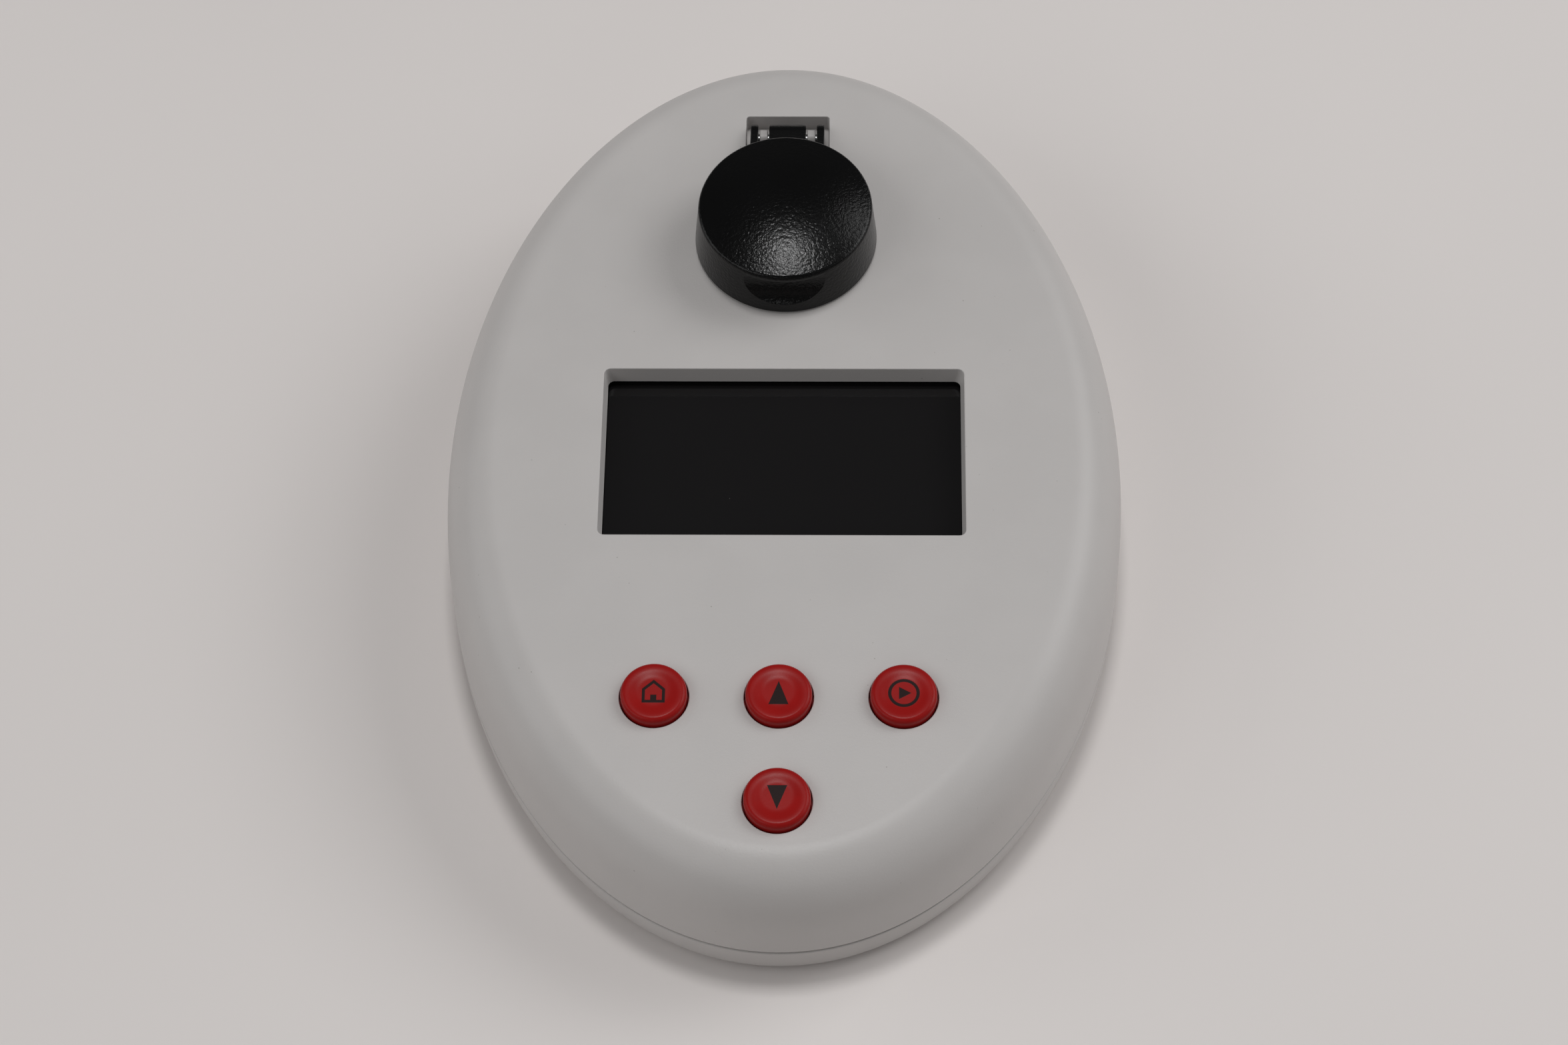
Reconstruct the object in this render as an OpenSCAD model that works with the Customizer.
// Benchtop fluorometer: an oval case in two shells, a display, four keys,
// a hinged lid over the tube chamber, and the optics and electronics inside.
// X points right, Y to the back, Z up. The feet stand on z = 0.

/* [Case] */
// Overall width of the case
case_w = 138.5; // [132:0.5:160]
// Overall length of the case
case_l = 202.6; // [196:0.2:230]
// Narrowing of the outline toward both ends, as a share of the width
end_taper = 0.019; // [0:0.001:0.06]
// Height of the sloping face above the bench, at the middle of the case
face_h = 38.5; // [37:0.5:46]
// Slope of the face, rising to the back
face_tilt = 4; // [2:0.5:6]
// Width of the rounded shoulder around the face
shoulder = 11; // [9:0.5:12]
// Fullness of the shoulder's section: 1 is a plain ellipse, less is fuller
shoulder_power = 0.5; // [0.4:0.05:1]
// Wall of both shells
wall = 2.4; // [2:0.1:3]
// Height of the parting line above the bench
parting_h = 9; // [8.5:0.1:11]
// Open seam between the two shells
seam = 0.5; // [0.3:0.1:0.8]
// Inset of the pan's outline where it turns under
pan_inset = 1.6; // [1:0.1:3]
// Gap between the pan and the bench
stand_off = 1.2; // [0.8:0.1:2]
// Radius of a rubber foot
foot_r = 6; // [4:0.5:7]
// Depth of the pocket that holds a foot
foot_pocket = 0.6; // [0.4:0.1:1]
// Distance of the front feet from the middle, across
foot_front_x = 30; // [24:1:34]
// Distance of the rear feet from the middle, across
foot_rear_x = 32; // [26:1:36]
// Distance of the feet from the middle, lengthwise
foot_y = 68; // [60:1:72]

/* [Case screws] */
// Radius of a screw boss on the cover
boss_r = 3.6; // [3.2:0.1:4.2]
// Radius of a case screw's shank
screw_r = 1.3; // [1:0.1:1.6]
// Radius of a case screw's head
head_r = 2.8; // [2.4:0.1:3.2]
// Height of a case screw's head
head_h = 2; // [1.4:0.1:2.4]
// Height that a case screw reaches up into its boss
screw_grip = 10; // [6:1:14]
// Rear screws, distance from the middle across
rear_screw_x = 45; // [43:0.5:47]
// Rear screws, distance from the middle lengthwise
rear_screw_y = 40; // [37:1:44]
// Front screws, distance from the middle across
front_screw_x = 38; // [37.5:0.5:40]
// Front screws, distance from the middle lengthwise
front_screw_y = -60; // [-62:1:-54]

/* [Display] */
// Width of the display window
window_w = 73.5; // [60:0.5:76]
// Length of the display window, up the face
window_l = 39.5; // [34:0.5:42]
// Middle of the window, up the face
window_y = -2.5; // [-4:0.5:0]
// Radius of the window's corners
window_r = 1.2; // [0.6:0.1:3]
// Depth of the window's side walls below the face
recess_d = 3.8; // [3:0.1:5]
// Lean of the window's side walls over their depth
recess_draft = 0.65; // [0.2:0.05:1]
// Width of the rim under the window that clamps the display
rim_w = 2.2; // [1.6:0.1:3]
// Thickness of the foam gasket around the display
gasket_t = 0.9; // [0.6:0.1:1.5]
// Thickness of the display glass
glass_t = 1.8; // [1:0.1:2.4]
// Thickness of the backlight
backlight_t = 3.4; // [2:0.1:4]
// Thickness of the display's steel bezel
bezel_t = 0.5; // [0.4:0.1:1]
// Width of the display's circuit board
lcd_board_w = 93; // [90:1:96]
// Length of the display's circuit board
lcd_board_l = 70; // [66:1:72]

/* [Keys] */
// Diameter of a key cap
key_d = 13; // [11:0.1:14]
// Radial gap between a key cap and its hole
key_gap = 0.3; // [0.2:0.05:0.5]
// Height of a key above the face
key_rise = 2.2; // [1:0.1:3]
// Travel of a key
key_travel = 0.8; // [0.4:0.1:1]
// Spacing of the keys across the face
key_pitch_x = 24.25; // [20:0.25:25]
// Spacing of the two key rows
key_pitch_y = 22.6; // [21:0.2:24]
// Distance of the upper key row in front of the middle, as a share of the case's length
key_row_share = 0.2915; // [0.281:0.001:0.3]
// Depth of the dish in a key's top
key_dish = 0.3; // [0.1:0.05:0.5]
// Width of the ledge that keeps a key in the case
key_ledge = 1.0; // [0.6:0.1:1.4]
// Side of a key switch
switch_w = 6; // [5:0.5:8]
// Height of a key switch
switch_h = 3.5; // [3:0.1:5]
// Radius of a switch plunger
plunger_r = 1.7; // [1.2:0.1:2]

/* [Lid] */
// Middle of the tube chamber and the lid, up the face
lid_y = 49.8; // [49:0.1:52]
// Radius of the lid at its foot
lid_foot_r = 18.9; // [18.2:0.1:19.5]
// Radius of the lid at its rim
lid_rim_r = 18; // [17:0.1:18.1]
// Height of the lid's rim above the face
lid_h = 11.5; // [10:0.1:14]
// Height of the lid's dome above its rim
lid_dome = 2.6; // [1:0.1:3]
// Wall of the lid
lid_wall = 3.1; // [2.8:0.1:3.5]
// Thickness of the lid's top
lid_top_t = 2.4; // [2:0.1:3]
// Radius of the thumb scoop in the lid's front
scoop_r = 10; // [8:0.5:12]
// Depth of the thumb scoop
scoop_d = 2.8; // [1:0.1:3]
// Height of the lip left above the thumb scoop
lip_h = 1.5; // [1:0.1:2.5]

/* [Hinge] */
// Distance of the hinge pin behind the middle of the lid
hinge_back = 26.1; // [25.5:0.1:27]
// Depth of the hinge pin below the face
hinge_drop = 0.5; // [0:0.1:1]
// Radius of the hinge pin
pin_r = 1; // [0.8:0.05:1.2]
// Radial clearance of the hinge pin in its holes
pin_play = 0.04; // [0.02:0.01:0.08]
// Radius of the lid's knuckles
knuckle_r = 3; // [2.4:0.1:3.2]
// Width of the middle knuckle
knuckle_w = 7.8; // [6:0.2:9]
// Width of an outer knuckle
cheek_w = 1.6; // [1.2:0.1:2]
// Width of a case rib that carries the pin
rib_w = 1.7; // [1.4:0.1:2]
// Gap between neighbouring knuckles and ribs
hinge_gap = 0.3; // [0.2:0.05:0.4]
// Gap between the outer knuckles and the recess
recess_gap = 1.0; // [0.5:0.1:1.5]
// Gap between the knuckles and the floor of the hinge recess
recess_floor_gap = 0.7; // [0.5:0.1:1.5]

/* [Tube chamber] */
// Radius of the tube bore
tube_r = 4; // [3:0.05:4.5]
// Depth of the tube bore's straight part
tube_straight = 13; // [11:0.5:14]
// Depth of the tube bore's tapered part
tube_taper = 12; // [9:0.5:13]
// Radius at the bottom of the tube bore
tube_tip_r = 1.9; // [1:0.1:2.4]
// Wall around the tube bore
well_wall = 3.5; // [3:0.1:4]
// Radius of the insert's neck in the face
neck_r = 12.2; // [11.5:0.1:13]
// Radius of the insert's flange on the face
flange_r = 14.2; // [13.8:0.1:15]
// Thickness of the insert's flange
flange_t = 1; // [0.6:0.1:1.2]

/* [Optics] */
// Width of the optics block
optics_w = 46; // [44:1:50]
// Length of the optics block, up the face
optics_l = 32; // [30:0.5:34]
// Height of the optics block
optics_h = 20; // [18:0.5:20]
// Depth of the optics block's top below the face
optics_drop = 8; // [7.5:0.1:8.5]
// Radius of a light channel
channel_r = 4; // [3.5:0.1:4.5]
// Radius of a light-emitting diode
led_r = 2.5; // [1.5:0.1:2.8]
// Thickness of a colour filter
filter_t = 1.5; // [1:0.1:2]
// Thickness of a collimating lens at its middle
lens_t = 2.4; // [2:0.1:2.8]

/* [Electronics] */
// Thickness of every circuit board
board_t = 1.6; // [1:0.1:2]
// Height of the main board's underside above the pan's floor
board_rise = 4.4; // [3:0.1:5]
// Width of the main board
main_w = 76; // [70:1:78]
// Back edge of the main board's straight sides
main_side_y = 60; // [58:1:64]
// Front edge of the main board
main_front_y = -40; // [-44:1:-36]
// Back edge of the main board
main_back_y = 87; // [84:1:88]
// Width of the main board's back edge
main_back_w = 48; // [46:1:50]
// Width of the socket for the mains adapter
jack_w = 9; // [9:0.5:10]
// Height of the socket for the mains adapter
jack_h = 11; // [10:0.5:12]
// Radius of the socket's bore
jack_bore_r = 2.9; // [2.7:0.05:3.2]
// Radius of the socket's pin
jack_pin_r = 1.05; // [0.8:0.05:1.25]
// Distance of the adapter socket from the middle
jack_x = -15; // [-18:0.5:-12]
// Width of the data port
usb_w = 12; // [12:0.1:13]
// Height of the data port
usb_h = 11; // [10.5:0.1:12]
// Distance of the data port from the middle
usb_x = 14; // [12:0.5:17]
// Length of both sockets
port_l = 16; // [14:0.5:18]

/* [Hidden] */
$fn = 48;

// General clearances
fit_gap = 0.3; // between pieces that only pass each other
thread_play = 0.05; // between a screw's shank and its pilot hole
eps = 0.01;

// Case
outline_sides = 72;
cover_z = parting_h + seam / 2;
pan_top_z = parting_h - seam / 2;
floor_z = stand_off + wall;
lip_t = 1.2;
lip_rise = 2;
post_r = head_r + fit_gap + 1.4;
post_top_z = pan_top_z - 0.8;
head_seat_z = stand_off + wall + 0.6;
case_screw_spots = [
  [-rear_screw_x, rear_screw_y], [rear_screw_x, rear_screw_y],
  [-front_screw_x, front_screw_y], [front_screw_x, front_screw_y]
];
foot_spots = [
  [-foot_front_x, -foot_y], [foot_front_x, -foot_y],
  [-foot_rear_x, foot_y], [foot_rear_x, foot_y]
];

// Display stack, as depths below the face
bezel_w = window_w + 2 * rim_w + 4;
bezel_l = window_l + 2 * rim_w + 6;
gasket_d = recess_d;
bezel_d = gasket_d + gasket_t;
glass_d = bezel_d + bezel_t;
backlight_d = glass_d + glass_t;
lcd_board_d = backlight_d + backlight_t;
lcd_screw_inset = 4.5;
lcd_screw_spots = [
  for (sx = [-1, 1], sy = [-1, 1])
    [sx * (lcd_board_w / 2 - lcd_screw_inset), window_y + sy * (lcd_board_l / 2 - lcd_screw_inset)]
];

// Small screws that hold the circuit boards
small_r = 1.1;
small_head_r = 2.2;
small_head_h = 1.5;
small_grip = 4.5;
small_boss_r = 2.7;
small_hole_r = small_r + fit_gap;

// Keys, as depths below the face
key_row_y = -key_row_share * case_l;
key_spots = [
  [-key_pitch_x, key_row_y], [0, key_row_y], [key_pitch_x, key_row_y],
  [0, key_row_y - key_pitch_y]
];
key_ledge_r = key_d / 2 + key_gap + key_ledge;
ledge_d = wall + fit_gap;
ledge_t = 1.2;
key_skirt_d = ledge_d + ledge_t;
stem_r = 2.4;
stem_d = key_skirt_d + 2.2;
switch_d = stem_d + key_travel + fit_gap;
plunger_d = switch_d + 1.6;
keypad_d = switch_d + switch_h;
keypad_w = 2 * key_pitch_x + switch_w + 12.5;
keypad_back_y = key_row_y + 13.4;
keypad_front_y = key_row_y - 12.6;
keypad_tab_w = switch_w + 18;
keypad_tab_y = key_row_y - key_pitch_y - switch_w / 2 - 5;
keypad_screw_spots = [
  for (sx = [-1, 1], y = [key_row_y + 9.9, key_row_y - 10.6]) [sx * key_pitch_x / 2, y]
];

// Lid and hinge
lid_lift = 0.35; // gap under the closed lid
rim_round = 0.9;
lid_inner_r = lid_rim_r - lid_wall;
lid_inner_h = lid_h - lid_top_t;
dome_r = (pow(lid_rim_r - rim_round, 2) + lid_dome * lid_dome) / (2 * lid_dome);
liner_t = 4.6;
liner_gap = 0.1;
cap_pocket_r = 6.8;
cap_pocket_h = 3.6;
seal_w = 4.6;
hinge_y = lid_y + hinge_back;
rib_x = knuckle_w / 2 + hinge_gap;
rib_r = knuckle_r - 1.1;
cheek_x = rib_x + rib_w + hinge_gap;
pin_half = cheek_x + cheek_w;
hinge_recess_w = 2 * (pin_half + recess_gap);
hinge_recess_d = hinge_drop + knuckle_r + recess_floor_gap;
hinge_recess_back = hinge_y + knuckle_r + 2.6;
hinge_recess_front = hinge_y - knuckle_r - 6.2;
pocket_wall = 1.6;

// Tube chamber and optics
well_r = tube_r + well_wall;
well_depth = tube_straight + tube_taper + 2.5;
well_gap = 0.1;
beam_d = optics_drop + optics_h / 2;
beam_r = 1.6;
led_l = 8.6;
diode_l = 5;
filter_gap = 1.2;
filter_x = well_r + well_gap + filter_gap;
lens_x = filter_x + filter_t + 1.2;
led_x = lens_x + lens_t + 0.6;
channel_piece_r = channel_r - 0.1;
optics_y = lid_y;
optics_screw_inset = 4;
optics_screw_spots = [
  for (sx = [-1, 1], sy = [-1, 1])
    [sx * (optics_w / 2 - optics_screw_inset), optics_y + sy * (optics_l / 2 - optics_screw_inset)]
];
sensor_w = 16;
sensor_h = 10;

// Electronics
main_z = floor_z + board_rise;
main_top_z = main_z + board_t;
board_screw_inset = 5;
board_screw_spots = [
  for (sx = [-1, 1], y = [main_front_y + board_screw_inset, main_side_y - board_screw_inset])
    [sx * (main_w / 2 - board_screw_inset), y]
];
header_w = 18;
header_l = 5;
header_h = 5;
optics_header_w = 11;
display_header_y = window_y - lcd_board_l / 2 + 9.5;
keypad_header_y = main_front_y + 3.2;
optics_header_y = optics_y - optics_l / 2 - 9;
keypad_plug_y = keypad_back_y - 5;
cable_t = 0.7;
cable_w = header_w - 4;
port_face_y = case_l / 2 * sqrt(1 - pow(max(abs(jack_x), abs(usb_x)) / (case_w / 2), 2)) - 1.4;
port_gap = 0.3;

// ---- Outline of the case ----

// Height of the sloping face over a point of the plan
function face_z(y) = face_h + y * tan(face_tilt);

// Point of the oval outline, moved inward along its normal
function oval(a, inset) =
  let (
    s = sin(a), c = cos(a), swell = 1 - end_taper * s * s,
    nx = case_l / 2 * c,
    ny = case_w / 2 * s * (swell + 2 * end_taper * c * c),
    n = norm([nx, ny])
  )
  [case_w / 2 * c * swell - inset * nx / n, case_l / 2 * s - inset * ny / n];

// Level ring of the outline
function level_ring(inset, z) = [
  for (i = [0 : outline_sides - 1]) let (p = oval(i * 360 / outline_sides, inset)) [p[0], p[1], z]
];

// Ring of the shoulder: share 0 lies at the parting line, share 1 in the face
function shoulder_ring(inset, share, drop) = [
  for (i = [0 : outline_sides - 1])
    let (p = oval(i * 360 / outline_sides, inset))
      [p[0], p[1], cover_z + (face_z(p[1]) - drop - cover_z) * share]
];

// Solid through a stack of rings with the same number of points
module ring_stack(rings) {
  n = outline_sides;
  last = len(rings) - 1;
  polyhedron(
    points = [for (r = rings) each r],
    faces = concat(
      [[for (i = [0 : n - 1]) i]],
      [for (k = [0 : last - 1], i = [0 : n - 1]) [k * n + i, (k + 1) * n + i, k * n + (i + 1) % n]],
      [for (k = [0 : last - 1], i = [0 : n - 1])
        [k * n + (i + 1) % n, (k + 1) * n + i, (k + 1) * n + (i + 1) % n]],
      [[for (i = [n - 1 : -1 : 0]) last * n + i]]
    ),
    convexity = 4
  );
}

module cover_outside() {
  ring_stack([
    for (q = [0, 14, 28, 42, 56, 70, 80, 90])
      shoulder_ring(shoulder * (1 - cos(q)), pow(sin(q), shoulder_power), 0)
  ]);
}

module cover_inside() {
  ring_stack(concat(
    [level_ring(wall, cover_z - 1)],
    [for (q = [0, 22, 44, 66, 90])
      shoulder_ring(
        wall + (shoulder - wall / 2) * (1 - cos(q)), pow(sin(q), shoulder_power), wall
      )]
  ));
}

module pan_outside() {
  ring_stack([
    level_ring(pan_inset + 1.2, stand_off),
    level_ring(pan_inset, stand_off + 0.3),
    level_ring(pan_inset * 0.35, stand_off + 2),
    level_ring(pan_inset * 0.12, stand_off + 4),
    level_ring(0, pan_top_z)
  ]);
}

module pan_inside() {
  ring_stack([
    level_ring(pan_inset + wall, floor_z),
    level_ring(wall + pan_inset * 0.12, stand_off + 5),
    level_ring(wall, pan_top_z + 1)
  ]);
}

// ---- Helpers ----

// Places children in the plane of the face: X across, Y up the face, Z out of it
module on_face() {
  translate([0, 0, face_h]) rotate([face_tilt, 0, 0]) children();
}

module at(spots) {
  for (p = spots) translate([p[0], p[1], 0]) children();
}

// Plate with round corners, its top at z = 0
module plate(w, l, t, r) {
  translate([0, 0, -t]) linear_extrude(t) {
    square([w - 2 * r, l], center = true);
    square([w, l - 2 * r], center = true);
    for (sx = [-1, 1], sy = [-1, 1]) translate([sx * (w / 2 - r), sy * (l / 2 - r)]) circle(r);
  }
}

// Pan-head screw: head below z = 0, shank above
module screw(r, grip, hr, hh) {
  cylinder(r = r, h = grip);
  translate([0, 0, -hh]) difference() {
    cylinder(r = hr, h = hh);
    for (a = [0, 90]) rotate(a)
      cube([hr * 1.1, hr * 0.28, hh], center = true);
  }
}

// Flat cable along a path in the YZ plane
module flat_cable(path, w) {
  rotate([90, 0, 90]) translate([0, 0, -w / 2]) linear_extrude(w)
    polygon(concat(path, [for (i = [len(path) - 1 : -1 : 0]) path[i] + [cable_t, 0]]));
}

// Point of the face frame, as [y, z] of the case
function from_face(y, z) = [
  y * cos(face_tilt) - z * sin(face_tilt),
  face_h + y * sin(face_tilt) + z * cos(face_tilt)
];

// ---- Case ----

module window_funnel() {
  hull() {
    translate([0, window_y, 1]) plate(window_w, window_l, 1, window_r, $fn = 24);
    translate([0, window_y, -recess_d])
      plate(window_w - 2 * recess_draft, window_l - 2 * recess_draft, eps, window_r, $fn = 24);
  }
}

module hinge_ribs() {
  for (sx = [-1, 1]) translate([sx * (rib_x + rib_w / 2) - rib_w / 2, 0, 0])
    rotate([90, 0, 90]) linear_extrude(rib_w) {
      translate([hinge_y, -hinge_drop]) circle(rib_r);
      translate([hinge_y - rib_r, -hinge_recess_d - pocket_wall / 2])
        square([2 * rib_r, hinge_recess_d - hinge_drop + pocket_wall / 2]);
    }
}

module top_cover() {
  color("gainsboro") difference() {
    union() {
      difference() {
        cover_outside();
        cover_inside();
        on_face() translate([0, (hinge_recess_front + hinge_recess_back) / 2, 1])
          plate(hinge_recess_w, hinge_recess_back - hinge_recess_front, wall + 2, 0.6);
      }
      on_face() {
        translate([0, window_y, -wall / 2])
          plate(window_w + 2 * rim_w, window_l + 2 * rim_w, recess_d - wall / 2, window_r + rim_w / 2);
        at(lcd_screw_spots) translate([0, 0, -lcd_board_d])
          cylinder(r = small_boss_r, h = lcd_board_d - wall / 2);
        at(keypad_screw_spots) translate([0, 0, -keypad_d])
          cylinder(r = small_boss_r, h = keypad_d - wall / 2);
        at(optics_screw_spots) translate([0, 0, -optics_drop])
          cylinder(r = small_boss_r, h = optics_drop - wall / 2);
        difference() {
          translate([0, (hinge_recess_front + hinge_recess_back) / 2, -wall / 2])
            plate(
              hinge_recess_w + 2 * pocket_wall,
              hinge_recess_back - hinge_recess_front + 2 * pocket_wall,
              hinge_recess_d + pocket_wall - wall / 2, 1
            );
          translate([0, (hinge_recess_front + hinge_recess_back) / 2, 0])
            plate(hinge_recess_w, hinge_recess_back - hinge_recess_front, hinge_recess_d, 0.6);
        }
        hinge_ribs();
      }
      for (p = case_screw_spots) translate([p[0], p[1], post_top_z])
        cylinder(r = boss_r, h = face_z(p[1] - boss_r) - wall / 2 - post_top_z);
    }
    on_face() {
      window_funnel();
      at(key_spots) {
        translate([0, 0, -2 * wall]) cylinder(d = key_d + 2 * key_gap, h = 4 * wall);
        translate([0, 0, -key_skirt_d - key_travel - fit_gap])
          cylinder(r = key_ledge_r + fit_gap, h = key_skirt_d + key_travel + fit_gap - wall);
      }
      translate([0, lid_y, -2 * wall]) cylinder(r = neck_r + well_gap, h = 4 * wall);
      at(lcd_screw_spots) translate([0, 0, -lcd_board_d - 1])
        cylinder(r = small_r + thread_play, h = small_grip + 1.5);
      at(keypad_screw_spots) translate([0, 0, -keypad_d - 1])
        cylinder(r = small_r + thread_play, h = small_grip + 1.5);
      at(optics_screw_spots) translate([0, 0, -optics_drop - 1])
        cylinder(r = small_r + thread_play, h = small_grip + 1.5);
      translate([-pin_half - fit_gap, hinge_y, -hinge_drop]) rotate([0, 90, 0])
        cylinder(r = pin_r + pin_play, h = 2 * (pin_half + fit_gap));
    }
    at(case_screw_spots) translate([0, 0, post_top_z - 1])
      cylinder(r = screw_r + thread_play, h = screw_grip + 2);
    translate([jack_x - jack_w / 2 - port_gap, port_face_y - 6, cover_z - 1])
      cube([jack_w + 2 * port_gap, 12, main_top_z + jack_h + port_gap - cover_z + 1]);
    translate([usb_x - usb_w / 2 - port_gap, port_face_y - 6, cover_z - 1])
      cube([usb_w + 2 * port_gap, 12, main_top_z + usb_h + port_gap - cover_z + 1]);
  }
}

module base_pan() {
  color("gainsboro") difference() {
    union() {
      difference() {
        pan_outside();
        pan_inside();
      }
      difference() {
        ring_stack([
          level_ring(wall / 2, pan_top_z - 2.5), level_ring(wall / 2, pan_top_z - 0.5),
          level_ring(wall + fit_gap, pan_top_z - 0.4),
          level_ring(wall + fit_gap, pan_top_z + lip_rise)
        ]);
        ring_stack([
          level_ring(wall + fit_gap + lip_t, pan_top_z - 3),
          level_ring(wall + fit_gap + lip_t, pan_top_z + lip_rise + 1)
        ]);
      }
      at(case_screw_spots) translate([0, 0, floor_z - wall / 2])
        cylinder(r = post_r, h = post_top_z - floor_z + wall / 2);
      at(board_screw_spots) translate([0, 0, floor_z - wall / 2])
        cylinder(r = small_boss_r, h = board_rise + wall / 2);
    }
    at(case_screw_spots) {
      translate([0, 0, stand_off - 1]) cylinder(r = head_r + fit_gap, h = head_seat_z - stand_off + 1);
      translate([0, 0, stand_off - 1]) cylinder(r = screw_r + fit_gap, h = post_top_z);
    }
    at(board_screw_spots) translate([0, 0, main_z - small_grip - 0.5])
      cylinder(r = small_r + thread_play, h = small_grip + 1);
    at(foot_spots) translate([0, 0, stand_off - 1])
      cylinder(r = foot_r + 0.05, h = foot_pocket + 1);
    for (x = [jack_x, usb_x]) translate([x - usb_w / 2 - 1, port_face_y - 6, main_top_z - port_gap])
      cube([usb_w + 2, 12, 2 * lip_rise]);
  }
}

module rubber_feet() {
  color("#222222") at(foot_spots) rotate_extrude() polygon([
    [0, 0], [foot_r - 0.6, 0], [foot_r, 0.5], [foot_r, stand_off + foot_pocket],
    [0, stand_off + foot_pocket]
  ]);
}

module case_screws() {
  color("silver") at(case_screw_spots) translate([0, 0, head_seat_z])
    screw(screw_r, post_top_z + screw_grip - head_seat_z, head_r, head_h);
}

// ---- Display ----

module display_gasket() {
  color("#161616") on_face() translate([0, window_y, -gasket_d]) difference() {
    plate(window_w + 2 * rim_w, window_l + 2 * rim_w, gasket_t, 1);
    translate([0, 0, 1]) plate(window_w + 0.4, window_l + 0.4, gasket_t + 2, 0.6);
  }
}

module lcd_bezel() {
  color("#2b2b2d") on_face() translate([0, window_y, -bezel_d]) difference() {
    plate(bezel_w, bezel_l, lcd_board_d - bezel_d, 1.2);
    translate([0, 0, -bezel_t])
      plate(bezel_w - 2 * bezel_t, bezel_l - 2 * bezel_t, lcd_board_d, 0.6);
    translate([0, 0, 1]) plate(window_w + 0.8, window_l + 0.8, bezel_t + 2, 0.4);
  }
}

module lcd_glass() {
  color("#1a1a1e") on_face() translate([0, window_y, -glass_d])
    plate(bezel_w - 2 * bezel_t - 0.4, bezel_l - 2 * bezel_t - 0.4, glass_t, 0.4);
}

module lcd_backlight() {
  color("#cfe0d8") on_face() translate([0, window_y, -backlight_d])
    plate(bezel_w - 2 * bezel_t - 0.8, bezel_l - 2 * bezel_t - 0.8, backlight_t, 0.4);
}

module lcd_board() {
  color("#1f5b35") on_face() difference() {
    translate([0, window_y, -lcd_board_d]) plate(lcd_board_w, lcd_board_l, board_t, 1.5);
    at(lcd_screw_spots) translate([0, 0, -lcd_board_d - board_t - 1])
      cylinder(r = small_hole_r, h = board_t + 2);
  }
}

module lcd_screws() {
  color("silver") on_face() at(lcd_screw_spots) translate([0, 0, -lcd_board_d - board_t])
    screw(small_r, small_grip + board_t, small_head_r, small_head_h);
}

module display_connector() {
  color("#e8e4d6") on_face()
    translate([-header_w / 2, display_header_y - header_l / 2, -lcd_board_d - board_t - header_h])
      difference() {
        cube([header_w, header_l, header_h]);
        translate([1.2, 1.2, -1]) cube([header_w - 2.4, header_l - 2.4, 3]);
      }
}

module display_cable() {
  top = from_face(display_header_y, -lcd_board_d - board_t - header_h + 1.5);
  foot = [display_header_y, main_top_z + header_h - 1.5];
  color("#c9c9c9") translate([0, -cable_t / 2, 0]) flat_cable([
    foot, foot + [0, 2], [(foot[0] + top[0]) / 2, (foot[1] + top[1]) / 2], top - [0, 2], top
  ], cable_w);
}

// ---- Keys ----

// Key cap with its ledge and stem, around the origin in the face
module key_cap() {
  r = key_d / 2;
  round_r = 1;
  dish_w = 8 * key_dish;
  rotate_extrude() polygon(concat(
    [[0, -stem_d], [stem_r, -stem_d], [stem_r, -key_skirt_d], [key_ledge_r, -key_skirt_d],
      [key_ledge_r, -ledge_d], [r, -ledge_d]],
    [for (q = [0 : 15 : 90]) [r - round_r + round_r * cos(q), key_rise - round_r + round_r * sin(q)]],
    [for (k = [0 : 0.25 : 1])
      [r - 1.25 * round_r - dish_w * k, key_rise - key_dish * (1 - cos(180 * k)) / 2]],
    [[0, key_rise - key_dish]]
  ));
}

module key(i) {
  color("firebrick") on_face() at([key_spots[i]]) key_cap();
}

module home_button() { key(0); }
module up_button() { key(1); }
module go_button() { key(2); }
module down_button() { key(3); }

module plunger(i) {
  color("#d8d8d8") on_face() at([key_spots[i]]) translate([0, 0, -plunger_d])
    cylinder(r = plunger_r, h = plunger_d - stem_d);
}

module home_plunger() { plunger(0); }
module up_plunger() { plunger(1); }
module go_plunger() { plunger(2); }
module down_plunger() { plunger(3); }

module key_switches() {
  color("#2a2a2a") on_face() at(key_spots) difference() {
    translate([-switch_w / 2, -switch_w / 2, -keypad_d]) cube([switch_w, switch_w, switch_h]);
    translate([0, 0, -plunger_d - key_travel - 0.2])
      cylinder(r = plunger_r + 0.1, h = plunger_d + key_travel);
  }
}

module keypad_board() {
  color("#1f5b35") on_face() translate([0, 0, -keypad_d - board_t]) difference() {
    linear_extrude(board_t) {
      translate([-keypad_w / 2, keypad_front_y]) square([keypad_w, keypad_back_y - keypad_front_y]);
      translate([-keypad_tab_w / 2, keypad_tab_y])
        square([keypad_tab_w, keypad_front_y - keypad_tab_y + 1]);
    }
    at(keypad_screw_spots) translate([0, 0, -1]) cylinder(r = small_hole_r, h = board_t + 2);
  }
}

module keypad_screws() {
  color("silver") on_face() at(keypad_screw_spots) translate([0, 0, -keypad_d - board_t])
    screw(small_r, small_grip + board_t, small_head_r, small_head_h);
}

module keypad_connector() {
  color("#e8e4d6") on_face()
    translate([-header_w / 2, keypad_plug_y - header_l / 2, -keypad_d - board_t - header_h])
      difference() {
        cube([header_w, header_l, header_h]);
        translate([1.2, 1.2, -1]) cube([header_w - 2.4, header_l - 2.4, 3]);
      }
}

module keypad_cable() {
  top = from_face(keypad_plug_y, -keypad_d - board_t - header_h + 1.5);
  foot = [keypad_header_y, main_top_z + header_h - 1.5];
  color("#c9c9c9") translate([0, -cable_t / 2, 0]) flat_cable([
    foot, foot + [0, 2.4], top - [0, 2.4], top
  ], cable_w);
}

// ---- Lid and hinge ----

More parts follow.
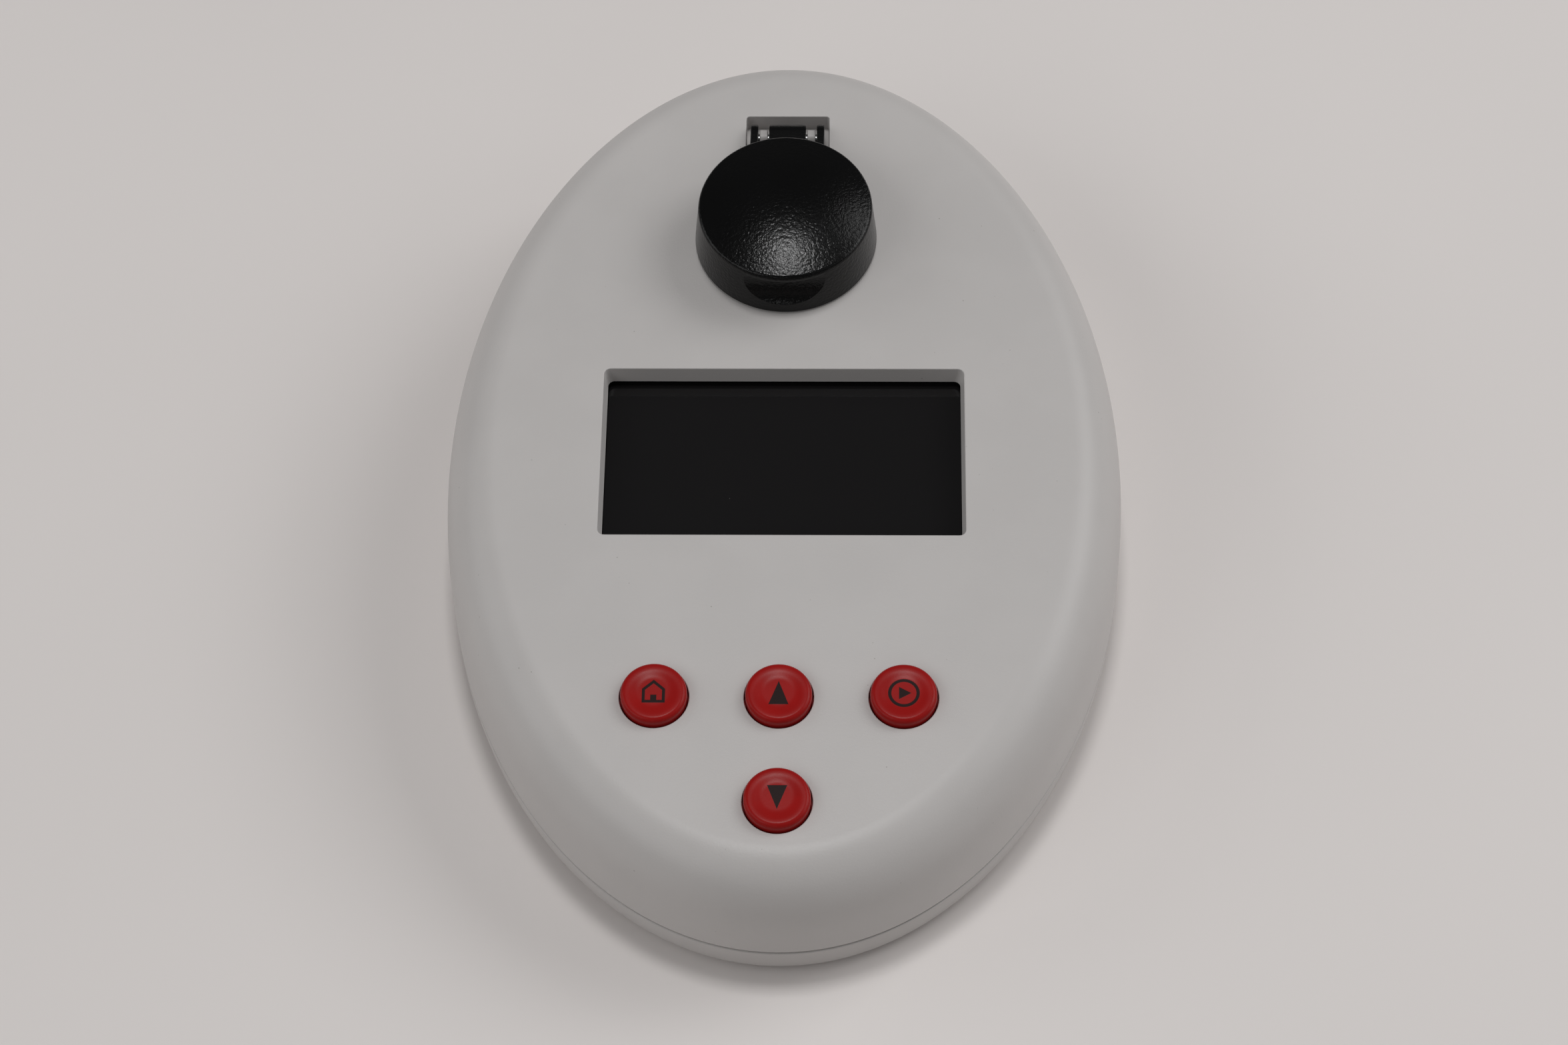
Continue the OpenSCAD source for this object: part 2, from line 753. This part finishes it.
// Arm from the lid's back wall to the hinge pin, w wide from x0
module hinge_arm(x0, w) {
  translate([x0, 0, 0]) rotate([90, 0, 90]) linear_extrude(w) {
    translate([hinge_y, -hinge_drop]) circle(knuckle_r);
    polygon([
      [lid_y + lid_inner_r + 0.6, lid_lift], [hinge_y - knuckle_r - 3, -0.6],
      [hinge_y, -hinge_drop - knuckle_r], [hinge_y, -hinge_drop + knuckle_r],
      [lid_y + lid_inner_r + 0.6, lid_h - 5]
    ]);
  }
}

module lid_shell() {
  dome_z = lid_h + lid_dome - dome_r;
  dome_half = asin((lid_rim_r - rim_round) / dome_r);
  color("#141414") on_face() difference() {
    union() {
      translate([0, lid_y, 0]) rotate_extrude() polygon(concat(
        [[0, lid_inner_h], [lid_inner_r, lid_inner_h], [lid_inner_r, lid_lift], [lid_foot_r, lid_lift]],
        [for (q = [0 : 15 : 75])
          [lid_rim_r - rim_round + rim_round * cos(q), lid_h - rim_round + rim_round * sin(q)]],
        [for (k = [1 : -0.1 : 0])
          [dome_r * sin(dome_half * k), dome_z + dome_r * cos(dome_half * k)]]
      ));
      hinge_arm(-knuckle_w / 2, knuckle_w);
      hinge_arm(cheek_x, cheek_w);
      hinge_arm(-cheek_x - cheek_w, cheek_w);
    }
    intersection() {
      translate([-2 * lid_foot_r, lid_y - lid_foot_r - scoop_r + scoop_d, lid_h - 2])
        rotate([0, 90, 0]) cylinder(r = scoop_r, h = 4 * lid_foot_r);
      translate([-2 * lid_foot_r, lid_y - 2 * lid_foot_r, -lid_h])
        cube([4 * lid_foot_r, 2 * lid_foot_r, 2 * lid_h - lip_h]);
    }
    translate([-pin_half - 1, hinge_y, -hinge_drop]) rotate([0, 90, 0])
      cylinder(r = pin_r + pin_play, h = 2 * pin_half + 2);
  }
}

module lid_liner() {
  color("#1c1c1c") on_face() translate([0, lid_y, lid_inner_h - liner_t]) difference() {
    cylinder(r = lid_inner_r - liner_gap, h = liner_t);
    translate([0, 0, -1]) cylinder(r = cap_pocket_r, h = cap_pocket_h + 1);
  }
}

module light_seal() {
  color("#262626") on_face() translate([0, lid_y, flange_t + fit_gap]) difference() {
    cylinder(r = flange_r - 0.4, h = lid_inner_h - liner_t - flange_t - fit_gap);
    translate([0, 0, -1]) cylinder(r = flange_r - 0.4 - seal_w, h = lid_inner_h);
  }
}

module hinge_pin() {
  color("silver") on_face() translate([-pin_half, hinge_y, -hinge_drop]) rotate([0, 90, 0])
    cylinder(r = pin_r, h = 2 * pin_half);
}

module chamber_insert() {
  color("#1a1a1a") on_face() translate([0, lid_y, 0]) difference() {
    rotate_extrude() polygon([
      [0, -well_depth], [well_r, -well_depth], [well_r, -wall - 0.6], [neck_r, -wall - 0.6],
      [neck_r, 0], [flange_r, 0], [flange_r, flange_t - 0.3], [flange_r - 0.3, flange_t], [0, flange_t]
    ]);
    translate([0, 0, flange_t - tube_straight]) cylinder(r = tube_r, h = tube_straight + 1);
    translate([0, 0, flange_t - tube_straight - tube_taper])
      cylinder(r1 = tube_tip_r, r2 = tube_r, h = tube_taper);
    translate([0, 0, -beam_d]) for (a = [0, 90]) rotate(a) rotate([0, 90, 0])
      cylinder(r = beam_r, h = 3 * well_r, center = true);
  }
}

// ---- Optics ----

// Places children in each of the light channels named by angles, with X along the beam
module in_channels(angles) {
  on_face() translate([0, lid_y, -beam_d]) for (a = angles) rotate(a) children();
}

// Disc across a channel, from x0 outward
module channel_disc(x0, r, t) {
  translate([x0, 0, 0]) rotate([0, 90, 0]) cylinder(r = r, h = t);
}

module optics_block() {
  color("#303030") difference() {
    on_face() translate([0, optics_y, -optics_drop]) plate(optics_w, optics_l, optics_h, 2);
    on_face() translate([0, lid_y, -2 * well_depth])
      cylinder(r = well_r + well_gap, h = 2 * well_depth);
    in_channels([0, 90, 180, 270]) channel_disc(0, channel_r, optics_w);
    on_face() at(optics_screw_spots) translate([0, 0, -optics_drop - optics_h - 1])
      cylinder(r = small_hole_r, h = optics_h + 2);
  }
}

module optics_screws() {
  color("silver") on_face() at(optics_screw_spots) translate([0, 0, -optics_drop - optics_h])
    screw(small_r, optics_h + small_grip, small_head_r, small_head_h);
}

module led() {
  translate([led_x, 0, 0]) rotate([0, 90, 0]) {
    translate([0, 0, led_r]) cylinder(r = led_r, h = led_l - led_r);
    translate([0, 0, led_r]) sphere(led_r);
    translate([0, 0, led_l - 1]) cylinder(r = led_r + 0.4, h = 1);
    for (s = [-1, 1]) translate([s * 1.27, 0, led_l - 0.2]) cylinder(r = 0.3, h = 4);
  }
}

module blue_led() { color("#3a6cff") in_channels([180]) led(); }
module red_led() { color("#d02020") in_channels([0]) led(); }

module led_holders() {
  color("#4a4a4a") in_channels([0, 180]) difference() {
    channel_disc(led_x + led_r + 0.4, channel_piece_r, led_l - led_r - 1.6);
    channel_disc(0, led_r + 0.1, optics_w);
  }
}

module collimating_lenses() {
  edge_t = 1;
  bulge = lens_t - edge_t;
  curve_r = (pow(channel_piece_r, 2) + bulge * bulge) / (2 * bulge);
  color("#cfe6f2") in_channels([0, 180]) intersection() {
    channel_disc(lens_x, channel_piece_r, lens_t);
    translate([lens_x + lens_t - curve_r, 0, 0]) sphere(curve_r, $fn = 96);
  }
}

module excitation_filters() {
  color("#3f5fd0") in_channels([0, 180]) channel_disc(filter_x, channel_piece_r, filter_t);
}

module emission_filters() {
  color("#3fae5a") in_channels([90, 270]) channel_disc(filter_x, channel_piece_r, filter_t);
}

// Outer face of the optics block, as the distance from the tube's axis
sensor_x = optics_l / 2;

module photodiodes() {
  color("#8f8f95") in_channels([90, 270]) union() {
    channel_disc(sensor_x - diode_l + 1, channel_piece_r, diode_l - 1);
    channel_disc(sensor_x - diode_l, channel_piece_r - 1.2, 1.5);
  }
}

module sensor_boards() {
  color("#1f5b35") in_channels([90, 270])
    translate([sensor_x, -sensor_w / 2, -sensor_h / 2]) cube([board_t, sensor_w, sensor_h]);
}

module optics_cable() {
  top = from_face(optics_y - optics_l / 2 - board_t - cable_t - fit_gap, -beam_d - 2);
  foot = [optics_header_y - cable_t / 2, main_top_z + header_h - 1.5];
  color("#c9c9c9") flat_cable([foot, foot + [0, 2], top - [0.3, 3], top - [0, 1], top + [-0.15, 2]],
    optics_header_w - 3);
}

// ---- Electronics ----

module main_board() {
  color("#1f5b35") translate([0, 0, main_z]) difference() {
    linear_extrude(board_t) polygon([
      [-main_w / 2, main_front_y], [main_w / 2, main_front_y], [main_w / 2, main_side_y],
      [main_back_w / 2, main_back_y], [-main_back_w / 2, main_back_y], [-main_w / 2, main_side_y]
    ]);
    at(board_screw_spots) translate([0, 0, -1]) cylinder(r = small_hole_r, h = board_t + 2);
  }
}

module board_chips() {
  chips = [[0, -8, 14, 14], [22, -6, 9, 7], [-22, -6, 8, 12], [-24, 14, 6, 5], [24, 14, 6, 5]];
  color("#202124") for (c = chips)
    translate([c[0] - c[2] / 2, c[1] - c[3] / 2, main_top_z]) cube([c[2], c[3], board_t]);
}

module board_header(y, w) {
  translate([-w / 2, y - header_l / 2, main_top_z]) difference() {
    cube([w, header_l, header_h]);
    translate([1.2, 1.2, 2]) cube([w - 2.4, header_l - 2.4, header_h]);
  }
}

module board_headers() {
  color("#e8e4d6") {
    board_header(display_header_y, header_w);
    board_header(keypad_header_y, header_w);
    board_header(optics_header_y, optics_header_w);
  }
}

module board_screws() {
  color("silver") at(board_screw_spots) translate([0, 0, main_top_z]) rotate([180, 0, 0])
    screw(small_r, small_grip + board_t - 0.3, small_head_r, small_head_h);
}

module power_jack() {
  pin_z = main_top_z + jack_h / 2 + 0.5;
  color("#1b1b1b") difference() {
    translate([jack_x - jack_w / 2, port_face_y - port_l, main_top_z]) cube([jack_w, port_l, jack_h]);
    translate([jack_x, port_face_y - 9.5, pin_z]) rotate([-90, 0, 0]) difference() {
      cylinder(r = jack_bore_r, h = 12);
      translate([0, 0, -1]) cylinder(r = jack_pin_r, h = 9.5);
    }
  }
}

module usb_port() {
  shell_t = 0.8;
  color("#b9bcc0") translate([usb_x, port_face_y - port_l, main_top_z]) difference() {
    translate([-usb_w / 2, 0, 0]) cube([usb_w, port_l, usb_h]);
    difference() {
      translate([-usb_w / 2 + shell_t + 0.9, port_l - 10, shell_t + 0.7])
        cube([usb_w - 2 * shell_t - 1.8, 12, usb_h - 2 * shell_t - 1.4]);
      translate([-2.8, 0, usb_h / 2 - 1.6]) cube([5.6, port_l - 1, 3.2]);
    }
  }
}

top_cover();
base_pan();
rubber_feet();
case_screws();
display_gasket();
lcd_bezel();
lcd_glass();
lcd_backlight();
lcd_board();
lcd_screws();
display_connector();
display_cable();
home_button();
up_button();
go_button();
down_button();
home_plunger();
up_plunger();
go_plunger();
down_plunger();
key_switches();
keypad_board();
keypad_screws();
keypad_connector();
keypad_cable();
lid_shell();
lid_liner();
light_seal();
hinge_pin();
chamber_insert();
optics_block();
optics_screws();
blue_led();
red_led();
led_holders();
collimating_lenses();
excitation_filters();
emission_filters();
photodiodes();
sensor_boards();
optics_cable();
main_board();
board_chips();
board_headers();
board_screws();
power_jack();
usb_port();
